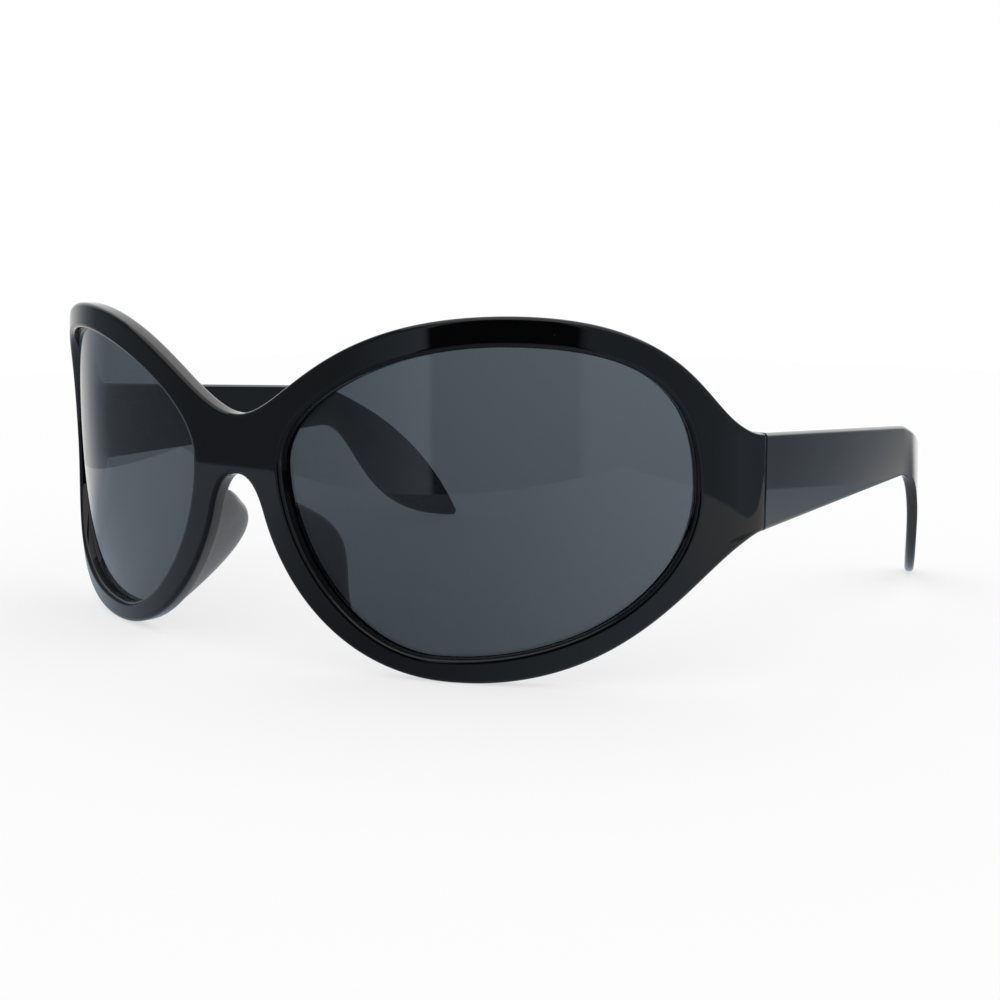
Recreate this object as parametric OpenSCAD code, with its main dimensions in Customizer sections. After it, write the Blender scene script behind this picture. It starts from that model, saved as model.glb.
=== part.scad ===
// Oversized wrap sunglasses: a moulded front, two tinted lenses and two folding temples.
// The glasses stand on a table on their rims and temple tips, with the lenses facing -Y.
// The front is drawn flat, as arc length along it and height, and then wrapped on its base curve.

/* [Front] */
// Base curve: the radius that the lenses and the middle of the front are wrapped to
base_r = 88; // [75:1:110]
// Half width of the flat middle of the bridge
bridge_flat = 8; // [2:0.1:9]
// Radius that the front tightens to beside the lens
side_r = 65; // [45:1:80]
// Outer radius of the corner of the endpiece
corner_r = 7.8; // [7.5:0.1:12]
// Width of the rim from the lens opening to the corner
side_rim_w = 7.4; // [6:0.2:12]
// Radius of the face from its top to its bottom
rise_r = 300; // [150:5:500]
// Lean of the face, with its top forward, in degrees
face_tilt = 1.7; // [0:0.1:4]
// Height of the front
front_h = 56.6; // [50:0.2:62]
// Thickness of the front from its face to its back
front_t = 3.5; // [3.3:0.1:5]
// Height of the top of the bridge above the table
bridge_top_z = 40.2; // [35:0.2:44]
// Height of the arch under the bridge above the table
arch_z = 30.4; // [26:0.2:33]
// Arc length from the middle to the highest point of the brow
brow_s = 49.2; // [42:0.2:55]
// Arc length from the middle to the lowest point of the rim
low_s = 39.8; // [33:0.2:45]
// Rounding of the outer edge of the face
face_round = 0.8; // [0.6:0.1:1.4]
// Rounding of the outer edge of the back
back_round = 1.1; // [0.5:0.1:1.2]
// Rounding of the edge of the lens opening
opening_round = 0.9; // [0.4:0.1:1.2]

/* [Lens] */
// Arc length from the middle to the near side of the lens opening
opening_near_s = 9.8; // [7:0.1:11]
// Width of the lens opening along the wrap
opening_w = 67.8; // [61:0.1:72]
// Height of the bottom of the lens opening above the table
opening_low_z = 3.8; // [3:0.1:6]
// Height of the lens opening
opening_h = 48.2; // [43:0.2:50]
// Thickness of each lens
lens_t = 1.2; // [1:0.1:1.4]
// Depth of the lens behind the face of the front, half way up and beside the bridge
lens_set = 1.9; // [1.5:0.1:2]
// Radius of the lens from its top to its bottom
lens_rise_r = 300; // [88:1:400]
// Depth of the groove that holds the lens
groove_d = 0.8; // [0.5:0.1:1]
// Clearance between the lens and its groove
lens_fit = 0.05; // [0.02:0.01:0.08]

/* [Nose pads] */
// Farthest reach of a nose pad behind the rim
pad_reach = 10; // [6:0.5:11]
// Distance that the free edge of a pad leans away from the nose
pad_splay = 1.6; // [0.4:0.2:4]

/* [Temples] */
// Length of a temple from the joint to its tip, measured straight back
temple_l = 98.6; // [88:0.2:112]
// Height of the temple at the joint
temple_h = 15.2; // [11:0.2:17]
// Thickness of the temple at the joint
temple_t = 3.5; // [3.2:0.1:4.6]
// Thickness of the temple at its tip
tip_t = 1.8; // [1.8:0.1:3.4]
// Height of the top of the temple above the table, at the joint
temple_top_z = 38.8; // [34:0.2:40]
// Distance that each temple leans in over its length
temple_lean = 5.2; // [2:0.1:9]
// Further distance that the end of the ear piece bends in
ear_bend_in = 10.2; // [5:0.1:13]
// Diameter of the wire core inside a temple
core_d = 1.2; // [1:0.1:1.5]

/* [Hinge] */
// Gap between the endpiece and the open temple
joint_gap = 0.25; // [0.2:0.05:0.5]
// Outer diameter of the hinge barrels
barrel_d = 3; // [2.6:0.1:3.4]
// Height of one hinge barrel
barrel_h = 1.5; // [1.2:0.1:1.8]
// Clearance between neighbouring barrels
barrel_gap = 0.1; // [0.06:0.02:0.16]
// Diameter of the hinge screw
screw_d = 1.4; // [1.2:0.1:1.6]
// Clearance round the screw in its barrels
screw_fit = 0.05; // [0.02:0.01:0.08]
// Thickness of a hinge plate
plate_t = 1.2; // [1:0.1:1.4]

/* [Hidden] */
deg = 180 / PI;

// The wrap: a flat bridge, a wide arc over the lens, a tighter arc past it, and a corner to the joint
side_start_share = 0.761;
side_start_s = opening_near_s + opening_w * side_start_share;
opening_far_s = opening_near_s + opening_w;
corner_s = opening_far_s + side_rim_w;
side_turn = (side_start_s - bridge_flat) / base_r * deg;
corner_turn = side_turn + (corner_s - side_start_s) / side_r * deg;
end_s = corner_s + corner_r * (90 - corner_turn) / deg;
side_x = bridge_flat + (base_r - side_r) * sin(side_turn);
side_back = base_r - (base_r - side_r) * cos(side_turn);
corner_x = side_x + (side_r - corner_r) * sin(corner_turn);
corner_back = side_back - (side_r - corner_r) * cos(corner_turn);
half_w = corner_x + corner_r;

// The face is arched and tilted from top to bottom, and this fades out between the lens and the joint
mid_z = front_h / 2;
function fade(s) =
    s <= opening_far_s ? 1 : pow(cos(90 * min(1, (s - opening_far_s) / (end_s - opening_far_s))), 2);
function setback(s, z) = fade(s) * (pow(z - mid_z, 2) / (2 * rise_r) - (z - mid_z) * tan(face_tilt));
face_lead = rise_r * pow(tan(face_tilt), 2) / 2;
overall_l = face_lead + corner_back + temple_l;
front_y = face_lead - overall_l / 2;
joint_y = front_y + corner_back;

// Point of the front at arc length s, height z and depth d behind its face
function on_arc(center, r, turn, z) = [center.x + r * sin(turn), front_y + center.y - r * cos(turn), z];
function wrap(s, z, d) =
    let (deep = d + setback(s, z))
    s <= bridge_flat ? [s, front_y + deep, z]
    : s <= side_start_s ? on_arc([bridge_flat, base_r], base_r - deep, (s - bridge_flat) / base_r * deg, z)
    : s <= corner_s
    ? on_arc([side_x, side_back], side_r - deep, side_turn + (s - side_start_s) / side_r * deg, z)
    : on_arc([corner_x, corner_back], corner_r - deep, corner_turn + (s - corner_s) / corner_r * deg, z);

// Depth of the lens behind the face: the lens keeps the base curve where the front tightens away from it
function fall(s) =
    let (turn = max(0, s - side_start_s) / side_r * deg, apart = base_r - side_r)
    sqrt(pow(base_r, 2) - pow(apart * sin(turn), 2)) - apart * cos(turn) - side_r;
function lens_depth(q) = lens_set - fall(q.x) + pow(q.y - mid_z, 2) * (1 / lens_rise_r - 1 / rise_r) / 2;

// Point of a cubic curve, and its direction
function curve(p, t) =
    pow(1 - t, 3) * p[0] + 3 * t * pow(1 - t, 2) * p[1] + 3 * t * t * (1 - t) * p[2] + pow(t, 3) * p[3];
function slope(p, t) =
    let (v = pow(1 - t, 2) * (p[1] - p[0]) + 2 * t * (1 - t) * (p[2] - p[1]) + t * t * (p[3] - p[2]))
    v / norm(v);
function mix(a, b, t) = a + (b - a) * t;

// The lens opening, as four curves between its extreme points: near, top, far and bottom
near_z_share = 0.597;
far_z_share = 0.554;
top_s_share = 0.575;
low_s_share = 0.398;
leave_shares = [0.484, 0.702, 0.576, 0.534];
arrive_shares = [0.511, 0.715, 0.559, 0.474];
opening_near = [opening_near_s, opening_low_z + opening_h * near_z_share];
opening_top = [opening_near_s + opening_w * top_s_share, opening_low_z + opening_h];
opening_far = [opening_far_s, opening_low_z + opening_h * far_z_share];
opening_low = [opening_near_s + opening_w * low_s_share, opening_low_z];
function quarter(a, b, upright, i) =
    let (corner = upright ? [a.x, b.y] : [b.x, a.y])
    [a, mix(a, corner, leave_shares[i]), mix(b, corner, arrive_shares[i]), b];
opening = [quarter(opening_near, opening_top, true, 0),
    quarter(opening_top, opening_far, false, 1),
    quarter(opening_far, opening_low, true, 2),
    quarter(opening_low, opening_near, false, 3)];
// Point of the opening's edge at turn u, from 0 to 4, moved out by e
function opening_edge(u, e) =
    let (q = floor(u) % 4, t = u - floor(u), v = slope(opening[q], t))
    curve(opening[q], t) + e * [-v.y, v.x];

// The outer outline, from the middle of the bridge over the brow, the endpiece and the rim to the arch
joint_top = [end_s, temple_top_z];
joint_low = [end_s, temple_top_z - temple_h];
brow = [brow_s, front_h];
low = [low_s, 0];
side_s = opening_near_s * 0.567;
side_z = arch_z * 0.806;
over_brow = [[0, bridge_top_z], [brow_s * 0.209, bridge_top_z], [brow_s * 0.361, front_h], brow];
to_joint = [brow, [mix(brow_s, end_s, 0.782), front_h], [mix(brow_s, end_s, 0.719), temple_top_z],
    joint_top];
from_joint = [joint_low, [mix(end_s, low_s, 0.189), joint_low.y], [mix(end_s, low_s, 0.358), 0], low];
to_side = [low, [low_s * 0.512, 0], [low_s * 0.227, side_z * 0.522], [side_s, side_z]];
to_arch = [[side_s, side_z], [side_s * 0.802, mix(side_z, arch_z, 0.563)], [side_s * 0.545, arch_z],
    [0, arch_z]];
edge_break = 0.25;

// Stations along the outline: arc length, height, outward direction scaled at the joint's crisp end,
// and the turn round the opening that each one faces
function along(p, steps, from, to) =
    [for (i = [0:steps - 1]) let (t = i / steps, v = slope(p, t), c = curve(p, t))
        [c.x, c.y, -v.y, v.x, mix(from, to, t)]];
brow_steps = 12;
top_steps = 14;
end_steps = 4;
low_steps = 14;
side_steps = 18;
arch_steps = 4;
end_turn_shares = [1.8, 2.18];
seam_turn_shares = [3.93, 4.18];
side_turn_share = 3.76;
crisp = edge_break / face_round;
joint_end = [for (i = [0:end_steps]) let (t = i / end_steps, p = mix(joint_top, joint_low, t))
    [p.x, p.y, crisp, i == 0 ? 1 : i == end_steps ? -1 : 0,
        mix(end_turn_shares[0], end_turn_shares[1], t)]];
function tail(list) = [for (i = [1:len(list) - 1]) list[i]];
rim_line = concat(
    along(over_brow, brow_steps, seam_turn_shares[1] - 4, 1),
    along(to_joint, top_steps, 1, end_turn_shares[0]),
    joint_end,
    tail(along(from_joint, low_steps, end_turn_shares[1], 3)),
    along(to_side, side_steps, 3, side_turn_share),
    along(to_arch, arch_steps, side_turn_share, seam_turn_shares[0]),
    [[0, arch_z, 0, -1, seam_turn_shares[0]]]);
seam_steps = 4;
rims = len(rim_line);
stations = rims + seam_steps - 1;

// Sections, as inset, depth, and 1 where the depth is counted from the lens: rounding from a face to a
// wall, the groove, and rounding from a wall to the back
face_turns = [0, 30, 60, 90];
back_turns = [0, 45, 90];
function face_arc(r) = [for (a = face_turns) [r * (1 - sin(a)), r * (1 - cos(a)), 0]];
function back_arc(r) = [for (a = back_turns) [r * (1 - cos(a)), front_t - r * (1 - sin(a)), 0]];
lip_share = 0.8;
function opening_section(q) =
    let (lip = lens_depth(q) - lens_fit, heel = front_t - lens_depth(q) - lens_t - lens_fit)
    concat(face_arc(min(opening_round, lip * lip_share)),
        [[0, -lens_fit, 1], [groove_d, -lens_fit, 1],
            [groove_d, lens_t + lens_fit, 1], [0, lens_t + lens_fit, 1]],
        back_arc(min(back_round, heel * lip_share)));
rim_section = concat(face_arc(face_round), back_arc(back_round));
face_steps = 5;
inner_n = len(opening_section(opening_near));
outer_n = len(rim_section);
ring = inner_n + outer_n + 2 * (face_steps - 1);

// Corner points of the front: one ring of points round the rim at each station
function station_turn(k) =
    k < rims ? rim_line[k][4] : mix(seam_turn_shares[0], seam_turn_shares[1], (k - rims + 1) / seam_steps);
function rim_inner(k, j) =
    let (turn = station_turn(k), p = opening_section(opening_edge(turn, 0))[j],
        q = opening_edge(turn, p[0]))
    [q.x, q.y, p[1] + (p[2] == 1 ? lens_depth(q) : 0)];
function rim_outer(k, j) =
    let (p = rim_section[j])
    k < rims
    ? let (q = rim_line[k]) [q[0] - p[0] * q[2], q[1] - p[0] * q[3], p[1]]
    : [0, mix(arch_z, bridge_top_z, (k - rims + 1) / seam_steps), p[1]];
function ring_point(k, p) =
    let (back0 = inner_n, wall0 = back0 + face_steps - 1, face0 = wall0 + outer_n)
    p < back0 ? rim_inner(k, p)
    : p < wall0 ? mix(rim_inner(k, inner_n - 1), rim_outer(k, outer_n - 1), (p - back0 + 1) / face_steps)
    : p < face0 ? rim_outer(k, face0 - 1 - p)
    : mix(rim_outer(k, 0), rim_inner(k, 0), (p - face0 + 1) / face_steps);
function placed(q) = wrap(q[0], q[1], q[2]);
half_points = [for (k = [0:stations - 1], p = [0:ring - 1]) placed(ring_point(k, p))];
wall_from = inner_n + face_steps - 1;
function is_wall(p) = p >= wall_from && p < wall_from + outer_n;
function on_seam(k, p) = is_wall(p) && (k == 0 || k >= rims - 1);
function corner(side, k, p) =
    let (kk = k % stations, pp = p % ring)
    kk * ring + pp + (side && !on_seam(kk, pp) ? stations * ring : 0);
function split(side, a, b, c, d) = side ? [[a, c, b], [a, d, c]] : [[a, b, c], [a, c, d]];
function flat_list(list) = [for (a = list, b = a) b];

// Moulded front: both rims with their lens grooves, the bridge and the two endpieces in one shell
module front_shell() {
    mirrored = [for (v = half_points) [v.x == 0 ? 0 : -v.x, v.y, v.z]];
    faces = flat_list([for (side = [false, true], k = [0:stations - 1], p = [0:ring - 1])
        if (!(k >= rims - 1 && is_wall(p) && is_wall((p + 1) % ring)))
            split(side, corner(side, k, p), corner(side, k + 1, p),
                corner(side, k + 1, p + 1), corner(side, k, p + 1))]);
    polyhedron(points = concat(half_points, mirrored), faces = faces, convexity = 10);
}

// A tinted lens, wrapped like the front, with a point of its edge in the groove at each station
lens_rings = 4;
module lens_shell() {
    lens_steps = stations;
    middle = [opening_near_s + opening_w / 2, opening_low_z + opening_h / 2];
    face = concat([middle], [for (j = [1:lens_rings], k = [0:lens_steps - 1])
        mix(middle, opening_edge(station_turn(k), groove_d - lens_fit), j / lens_rings)]);
    function sheet(d) = [for (q = face) wrap(q.x, q.y, lens_depth(q) + d)];
    count = lens_rings * lens_steps + 1;
    function at(back, j, k) = (back ? count : 0) + (j == 0 ? 0 : 1 + (j - 1) * lens_steps + k % lens_steps);
    fans = flat_list([for (k = [0:lens_steps - 1]) [
        [at(false, 0, k), at(false, 1, k), at(false, 1, k + 1)],
        [at(true, 0, k), at(true, 1, k + 1), at(true, 1, k)]]]);
    bands = flat_list([for (j = [1:lens_rings - 1], k = [0:lens_steps - 1], back = [false, true])
        split(back, at(back, j, k), at(back, j + 1, k), at(back, j + 1, k + 1), at(back, j, k + 1))]);
    rim = flat_list([for (k = [0:lens_steps - 1])
        split(true, at(false, lens_rings, k), at(false, lens_rings, k + 1),
            at(true, lens_rings, k + 1), at(true, lens_rings, k))]);
    polyhedron(points = concat(sheet(0), sheet(lens_t)), faces = concat(fans, bands, rim), convexity = 6);
}

// A nose pad, grown from the rim's own back edge so that its root meets the rim all over
pad_steps = 11;
pad_top_steps = 4;
pad_first = rims - pad_top_steps - pad_steps;
pad_last = rims - pad_top_steps;
pad_nose_steps = 2;
pad_eye_steps = 3;
pad_root = [wall_from - pad_eye_steps, wall_from + pad_nose_steps];
pad_crown_steps = 8;
pad_foot = 0.4;
module pad_shell() {
    rows = pad_last - pad_first;
    base_n = pad_root[1] - pad_root[0] + 1;
    function lift(k) = let (u = (k - pad_first) / rows)
        pad_foot + (pad_reach - pad_foot) * pow(sin(180 * pow(0.02 + 0.96 * u, 1.5)), 0.7);
    function crown_point(k, j) =
        let (a = 180 * j / (pad_crown_steps + 1), nose = ring_point(k, pad_root[1]),
            eye = ring_point(k, pad_root[0]), up = lift(k) * pow(sin(a), 0.6), q = rim_line[k],
            lean = pad_splay * up / pad_reach)
        mix(nose, eye, (1 - cos(a)) / 2) + [-lean * q[2], -lean * q[3], up];
    section_n = base_n + pad_crown_steps;
    points = [for (k = [pad_first:pad_last], j = [0:section_n - 1])
        placed(j < base_n ? ring_point(k, pad_root[0] + j) : crown_point(k, j - base_n + 1))];
    sides = flat_list([for (k = [0:rows - 1], j = [0:section_n - 1])
        split(false, k * section_n + j, k * section_n + (j + 1) % section_n,
            (k + 1) * section_n + (j + 1) % section_n, (k + 1) * section_n + j)]);
    ends = [for (j = [1:section_n - 2], far = [false, true]) let (o = far ? rows * section_n : 0)
        far ? [o, o + j, o + j + 1] : [o, o + j + 1, o + j]];
    polyhedron(points = points, faces = concat(sides, ends), convexity = 6);
}

// Side view of a temple: distance back from the joint and height, for its top and its bottom edge
ear_start_share = 0.625;
ear_start = temple_l * ear_start_share;
ear_l = temple_l - ear_start;
ear_top_z = temple_top_z * 0.882;
ear_low_z = mix(joint_low.y, ear_top_z, 0.112);
tip_h = tip_t * 0.8;
ear_top = [[ear_start, ear_top_z], [ear_start + ear_l * 0.215, ear_top_z * 0.964],
    [ear_start + ear_l * 0.729, ear_top_z * 0.683], [temple_l, tip_h]];
ear_low = [[ear_start, ear_low_z], [ear_start + ear_l * 0.408, ear_low_z * 1.008],
    [ear_start + ear_l * 0.256, ear_low_z * 0.078], [temple_l - tip_h / 2, 0]];
straight_steps = 6;
ear_steps = 15;
spine = concat(
    [for (i = [0:straight_steps - 1]) let (t = i / straight_steps)
        [mix([joint_gap, temple_top_z], ear_top[0], t), mix([joint_gap, joint_low.y], ear_low[0], t)]],
    [for (i = [0:ear_steps]) let (t = i / ear_steps) [curve(ear_top, t), curve(ear_low, t)]]);

// Plan view of a temple: its outer face leans in straight, and the end of the ear piece bends in further
bend_start_share = 0.673;
bend_ease_share = 0.297;
function bend(t) =
    (t <= 0 ? 0 : t < bend_ease_share ? t * t / bend_ease_share / 2 : t - bend_ease_share / 2)
    / (1 - bend_ease_share / 2);
function temple_out(y) =
    half_w - temple_lean * y / temple_l
    - ear_bend_in * bend((y / temple_l - bend_start_share) / (1 - bend_start_share));
function temple_thick(y) = mix(temple_t, tip_t, y / temple_l);
function temple_point(q, d) = [temple_out(q.x) - d, joint_y + q.x, q.y];
corner_turns = [0, 30, 60, 90];
function temple_section(i) =
    let (top = spine[i][0], bottom = spine[i][1], l = norm(top - bottom), e = (top - bottom) / l,
        t = temple_thick((top.x + bottom.x) / 2), out = min(face_round, l * 0.45, t * 0.45),
        in = min(back_round, l * 0.45, t * 0.45), turns = corner_turns)
    concat(
        [for (a = turns) temple_point(bottom + e * out * (1 - cos(a)), out * (1 - sin(a)))],
        [for (a = turns) temple_point(top - e * out * (1 - sin(a)), out * (1 - cos(a)))],
        [for (a = turns) temple_point(top - e * in * (1 - cos(a)), t - in * (1 - sin(a)))],
        [for (a = turns) temple_point(bottom + e * in * (1 - sin(a)), t - in * (1 - cos(a)))]);
module temple_shell() {
    n = len(corner_turns) * 4;
    last = len(spine) - 1;
    sides = flat_list([for (i = [0:last - 1], j = [0:n - 1])
        split(false, i * n + j, i * n + (j + 1) % n, (i + 1) * n + (j + 1) % n, (i + 1) * n + j)]);
    ends = [for (j = [1:n - 2], far = [false, true]) let (o = far ? last * n : 0)
        far ? [o, o + j, o + j + 1] : [o, o + j + 1, o + j]];
    polyhedron(points = flat_list([for (i = [0:last]) temple_section(i)]), faces = concat(sides, ends),
        convexity = 6);
}

// Plates of the hinge leaves and the pockets that they lie in
pocket_fit = 0.03;
plate_proud = plate_t / 3;
front_plate_l = 4.6;
temple_plate_l = 9;
temple_plate_gap = 1.5;

// The wire core starts at the hinge plate, runs down the middle of the temple and round into the ear piece
core_fit = 0.02;
core_skin = 0.4;
core_sides = 10;
core_start = temple_plate_gap + temple_plate_l + pocket_fit + core_fit;
core_settle = core_d * 8;
core_steps = 5;
end_core_steps = 8;
core_end_share = 0.6;
core_line = concat(
    [for (i = [0:core_steps]) let (y = mix(core_start, ear_start, pow(i / core_steps, 1.5)))
        [y, mix(temple_top_z + joint_low.y, ear_top_z + ear_low_z, y / ear_start) / 2]],
    [for (i = [1:end_core_steps]) let (t = core_end_share * i / end_core_steps)
        mix(curve(ear_top, t), curve(ear_low, t), 0.5)]);
function core_point(i) =
    let (q = core_line[i], t = temple_thick(q.x), settled = min(1, (q.x - core_start) / core_settle))
    temple_point(q, mix(t - core_skin - core_d / 2, t / 2, settled));
function core_way(i) =
    let (v = core_point(min(i + 1, len(core_line) - 1)) - core_point(max(i - 1, 0))) v / norm(v);
module wire(grow) {
    last = len(core_line) - 1;
    r = core_d / 2 + grow;
    n = core_sides;
    points = flat_list([for (i = [0:last])
        let (v = core_way(i), side = cross(v, [1, 0, 0]), u = side / norm(side), w = cross(u, v),
            o = core_point(i) + (i == 0 ? -v : i == last ? v : [0, 0, 0]) * grow)
        [for (j = [0:n - 1]) o + r * (cos(360 * j / n) * u + sin(360 * j / n) * w)]]);
    sides = flat_list([for (i = [0:last - 1], j = [0:n - 1])
        split(true, i * n + j, (i + 1) * n + j, (i + 1) * n + (j + 1) % n, i * n + (j + 1) % n)]);
    ends = [for (j = [1:n - 2], far = [false, true]) let (o = far ? last * n : 0)
        far ? [o, o + j, o + j + 1] : [o, o + j + 1, o + j]];
    polyhedron(points = points, faces = concat(sides, ends), convexity = 4);
}

// Five barrels turn on one screw: three belong to the front leaf and two to the temple leaf
barrels = 5;
barrel_pitch = barrel_h + barrel_gap;
leaf_h = barrels * barrel_h + (barrels - 1) * barrel_gap;
leaf_z = mix(joint_low.y, temple_top_z, 0.5) - leaf_h / 2;
barrel_stand = 1.3;
axis_x = half_w - temple_t - barrel_stand - barrel_d / 2;
arm_r = barrel_d * 0.46;
arm_step = barrel_gap / 2;
module barrel_stack(first, step) {
    for (i = [first:2:barrels - 1])
        translate([0, 0, leaf_z + i * barrel_pitch + step]) linear_extrude(barrel_h - 2 * step) children();
}
module screw_bore() {
    translate([axis_x, joint_y, leaf_z - barrel_h])
        cylinder(d = screw_d + 2 * screw_fit, h = leaf_h + 2 * barrel_h, $fn = 48);
}

// The front leaf's plate lies against the back of the endpiece, where the corner starts
module at_front_plate() {
    r = corner_r - front_t;
    translate([corner_x + r * sin(corner_turn), joint_y - r * cos(corner_turn), 0])
        rotate([0, 0, corner_turn]) children();
}
module front_plate(fit, rise) {
    translate([-front_plate_l + plate_t / 2 - fit, plate_proud - plate_t - fit, leaf_z - fit])
        cube([front_plate_l + 2 * fit, plate_t + fit + rise, leaf_h + 2 * fit]);
}
module front_leaf() {
    r = corner_r - front_t;
    to_axis = [axis_x - corner_x - r * sin(corner_turn), r * cos(corner_turn)];
    hub = [to_axis.x * cos(corner_turn) + to_axis.y * sin(corner_turn),
        to_axis.y * cos(corner_turn) - to_axis.x * sin(corner_turn)];
    difference() {
        union() {
            at_front_plate() front_plate(0, 0);
            at_front_plate() barrel_stack(0, arm_step)
                polygon([[-barrel_d / 2, 0], [plate_t / 4, 0], hub + arm_r * [cos(-52), sin(-52)],
                    hub, hub + arm_r * [cos(155), sin(155)]]);
            barrel_stack(0, 0) translate([axis_x, joint_y]) circle(d = barrel_d, $fn = 48);
        }
        screw_bore();
    }
}

// The temple leaf's plate is let into the inner face of the temple
plate_turn = atan((temple_lean - temple_t + tip_t) / temple_l);
module at_temple_plate() {
    translate([half_w - temple_t, joint_y, 0]) rotate([0, 0, plate_turn]) children();
}
module temple_plate(fit, rise) {
    translate([-plate_proud - rise, temple_plate_gap - fit, leaf_z - fit])
        cube([plate_t + fit + rise, temple_plate_l + 2 * fit, leaf_h + 2 * fit]);
}
module temple_leaf() {
    hub = [-barrel_stand - barrel_d / 2, 0];
    difference() {
        union() {
            at_temple_plate() temple_plate(0, 0);
            barrel_stack(1, arm_step)
                translate([half_w - temple_t, joint_y])
                    polygon([hub + arm_r * [cos(-40), sin(-40)], [-plate_proud, temple_plate_gap],
                        [-plate_proud, temple_plate_gap + barrel_d / 2],
                        hub + arm_r * [cos(125), sin(125)], hub]);
            barrel_stack(1, 0) translate([axis_x, joint_y]) circle(d = barrel_d, $fn = 48);
        }
        screw_bore();
    }
}

// The hinge screw, with a slotted head on the top barrel
module screw() {
    head_d = barrel_d * 0.84;
    head_h = barrel_h * 0.46;
    translate([axis_x, joint_y, leaf_z]) {
        cylinder(d = screw_d, h = leaf_h, $fn = 48);
        difference() {
            translate([0, 0, leaf_h]) cylinder(d = head_d, h = head_h, $fn = 48);
            translate([-head_d, -head_h / 4, leaf_h + head_h / 2]) cube([2 * head_d, head_h / 2, head_h]);
        }
    }
}

module mirrored_if(right) {
    if (right) mirror([1, 0, 0]) children();
    else children();
}
module both() {
    children();
    mirror([1, 0, 0]) children();
}
overrun = 2;

module frame_front() {
    color("#111214")
        difference() {
            front_shell();
            both() at_front_plate() front_plate(pocket_fit, overrun);
        }
}
module lens(right) {
    color([0.17, 0.18, 0.2, 0.75]) mirrored_if(right) lens_shell();
}
module nose_pad(right) {
    color("#16171a") mirrored_if(right) pad_shell();
}
module temple(right) {
    color("#141517")
        mirrored_if(right)
            difference() {
                temple_shell();
                at_temple_plate() temple_plate(pocket_fit, overrun);
                wire(core_fit);
            }
}
module temple_core(right) {
    color("#a9adb2") mirrored_if(right) wire(0);
}
module hinge_front_leaf(right) {
    color("#1e1f22") mirrored_if(right) front_leaf();
}
module hinge_temple_leaf(right) {
    color("#202124") mirrored_if(right) temple_leaf();
}
module hinge_screw(right) {
    color("#2c2d30") mirrored_if(right) screw();
}

frame_front();
lens(false);  // lens_left
lens(true);  // lens_right
nose_pad(false);  // nose_pad_left
nose_pad(true);  // nose_pad_right
temple(false);  // temple_left
temple(true);  // temple_right
temple_core(false);  // temple_core_left
temple_core(true);  // temple_core_right
hinge_front_leaf(false);  // hinge_front_leaf_left
hinge_front_leaf(true);  // hinge_front_leaf_right
hinge_temple_leaf(false);  // hinge_temple_leaf_left
hinge_temple_leaf(true);  // hinge_temple_leaf_right
hinge_screw(false);  // hinge_screw_left
hinge_screw(true);  // hinge_screw_right
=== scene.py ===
import math

import bmesh
import bpy
import numpy as np
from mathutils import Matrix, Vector


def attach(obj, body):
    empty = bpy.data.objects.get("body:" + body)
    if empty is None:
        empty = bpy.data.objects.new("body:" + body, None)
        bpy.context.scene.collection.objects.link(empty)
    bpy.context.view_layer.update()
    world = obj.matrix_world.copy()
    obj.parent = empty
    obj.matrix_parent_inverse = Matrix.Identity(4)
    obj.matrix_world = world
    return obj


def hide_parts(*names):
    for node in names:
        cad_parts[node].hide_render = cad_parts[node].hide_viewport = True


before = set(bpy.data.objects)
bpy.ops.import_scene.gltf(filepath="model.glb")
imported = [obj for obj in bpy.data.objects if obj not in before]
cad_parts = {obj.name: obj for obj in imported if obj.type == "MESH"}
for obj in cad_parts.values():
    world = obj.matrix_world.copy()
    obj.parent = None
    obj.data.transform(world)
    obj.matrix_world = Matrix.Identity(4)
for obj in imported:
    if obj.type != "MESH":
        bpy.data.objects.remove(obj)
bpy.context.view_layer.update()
scene = bpy.context.scene
mm = 0.001  # one millimetre in metres
print("frame loaded")

# the camera stands at the photograph's viewing point; place in metres, angles in degrees, lens and sensor in mm
photoCamera = {"place": (0.18988, -0.25633, 0.06765), "azimuth": 35.984, "elevation": 8.916, "lens": 59.55,
               "sensor": 36, "nearest": 0.01, "farthest": 20}


def addCamera():
    data = bpy.data.cameras.new("photoCamera")
    data.sensor_width = photoCamera["sensor"]
    data.lens = photoCamera["lens"]
    data.clip_start, data.clip_end = photoCamera["nearest"], photoCamera["farthest"]
    camera = bpy.data.objects.new("photoCamera", data)
    scene.collection.objects.link(camera)
    az, el = math.radians(photoCamera["azimuth"]), math.radians(photoCamera["elevation"])
    forward = Vector((-math.sin(az) * math.cos(el), math.cos(az) * math.cos(el), -math.sin(el)))
    camera.location = photoCamera["place"]
    camera.rotation_mode = "QUATERNION"
    camera.rotation_quaternion = forward.to_track_quat("-Z", "Y")
    scene.camera = camera


addCamera()
print("camera placed")

# The glasses are drawn flat, as arc length s from the middle, height z and depth d behind the face, and then
# wrapped. Lengths are in millimetres, angles in degrees, and s, z and d keep these letters below.
front = {"baseR": 88, "bridgeFlat": 8, "sideR": 65, "cornerR": 7.8, "sideRim": 7.4, "riseR": 300, "tilt": 1.7,
         "height": 56.6, "thick": 3.5, "bridgeTop": 40.2, "arch": 30.4, "browS": 49.2, "lowS": 39.8,
         "faceRound": 0.8, "backRound": 1.1, "openingRound": 0.9, "edgeBreak": 0.25}
lens = {"near": 9.8, "width": 67.8, "low": 3.8, "height": 48.2, "thick": 1.2, "depth": 1.9, "riseR": 300,
        "groove": 0.8, "fit": 0.05, "sideShare": 0.761, "nearZ": 0.597, "topS": 0.575, "farZ": 0.554, "lowS": 0.398,
        "leave": (0.484, 0.702, 0.576, 0.534), "arrive": (0.511, 0.715, 0.559, 0.474), "lipShare": 0.8,
        "pointsRound": 240, "rings": 40}
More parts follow.
